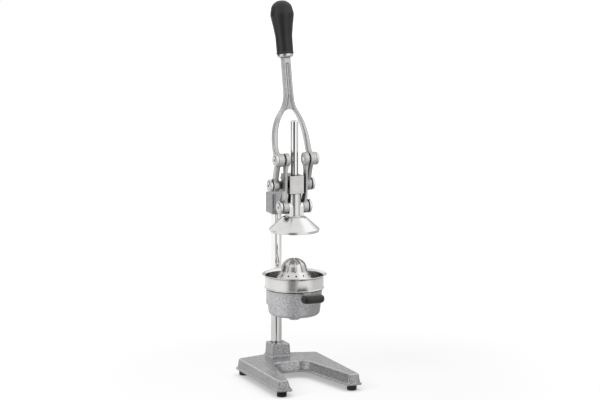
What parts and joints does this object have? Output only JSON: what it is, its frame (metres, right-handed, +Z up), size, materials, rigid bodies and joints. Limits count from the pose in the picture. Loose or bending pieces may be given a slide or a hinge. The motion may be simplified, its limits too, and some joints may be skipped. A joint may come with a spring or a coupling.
{
  "type": "lever citrus press",
  "caption": "Free-standing hand citrus press: forked lever and links drive a cone down a guide onto a ribbed reamer in a strainer bowl over a spouted cup, on a forked cast base.",
  "frame": {"origin": "on the table, at the middle of the overall footprint", "axes": "+Z up, front and lever pull towards -Y, +X to the right seen from the front"},
  "size_m": [0.184, 0.254, 0.7732],
  "materials": {
    "black_plastic": "satin moulded",
    "bracket_paint": "hammered silver-grey paint",
    "bright_steel": "bright turned",
    "bronze": "machined",
    "brushed_steel": "brushed round the bowl",
    "cast_satin": "satin casting",
    "chrome": "polished",
    "foot_rubber": "matt",
    "hammered_paint": "hammered silver-grey paint",
    "handle_plastic": "satin moulded",
    "machined_steel": "milled and lightly brushed",
    "polished_aluminium": "turned and polished",
    "reamer_metal": "satin polished casting"
  },
  "bodies": {
    "frame": {"base_casting": "hammered_paint", "foot_front_left": "foot_rubber", "foot_front_right": "foot_rubber", "foot_rear_left": "foot_rubber", "foot_rear_right": "foot_rubber", "foot_screws": "bright_steel", "column_bar": "chrome", "column_bolt": "bright_steel", "cup_casting": "hammered_paint", "cup_clamp_screws": "bright_steel", "bracket_casting": "bracket_paint", "bracket_screws": "bright_steel", "guide_block": "machined_steel", "guide_bush": "bronze", "guide_screws": "bright_steel", "pivot_bolt_left": "bright_steel", "pivot_bolt_right": "bright_steel", "pivot_washers": "bright_steel"},
    "lever": {"lever_yoke": "cast_satin", "grip": "black_plastic", "grip_collar": "bright_steel", "crank_bolt_left": "bright_steel", "crank_bolt_right": "bright_steel", "crank_spacers": "bright_steel"},
    "link_left": {"link_left": "cast_satin", "link_bolt_left": "bright_steel", "link_washer_left": "bright_steel"},
    "link_right": {"link_right": "cast_satin", "link_bolt_right": "bright_steel", "link_washer_right": "bright_steel"},
    "press_head": {"press_cone": "polished_aluminium", "cone_hub": "polished_aluminium", "press_rod": "chrome", "rod_screw": "bright_steel"},
    "strainer": {"strainer_bowl": "brushed_steel", "reamer_cone": "reamer_metal", "reamer_screw": "bright_steel", "strainer_handle": "handle_plastic", "handle_strap": "brushed_steel", "handle_screw": "bright_steel"}
  },
  "joints": [
    {"name": "lever_pull", "type": "hinge", "parent": "frame", "child": "lever", "pos_m": [0, 0.0269, 0.4026], "axis": [1, 0, 0], "range_deg": [0, 90]},
    {"name": "link_left_swing", "type": "hinge", "parent": "lever", "child": "link_left", "pos_m": [-0.0205, 0.00097, 0.4577], "axis": [1, 0, 0], "range_deg": [-73, 0]},
    {"name": "link_right_swing", "type": "hinge", "parent": "lever", "child": "link_right", "pos_m": [0.0205, 0.00097, 0.4577], "axis": [1, 0, 0], "range_deg": [-73, 0]},
    {"name": "press_slide", "type": "slide", "parent": "frame", "child": "press_head", "axis": [0, 0, -1], "range_m": [0, 0.07422]},
    {"name": "strainer_turn", "type": "hinge", "parent": "frame", "child": "strainer", "pos_m": [0, 0.0091, 0.192], "axis": [0, 0, 1], "range_deg": [-110, 110]}
  ],
  "couplings": [
    {"joint": "link_left_swing", "follows": "lever_pull", "ratio": -0.80491},
    {"joint": "link_right_swing", "follows": "lever_pull", "ratio": -0.80491},
    {"joint": "press_slide", "follows": "lever_pull", "m_per_rad": 0.047121}
  ]
}
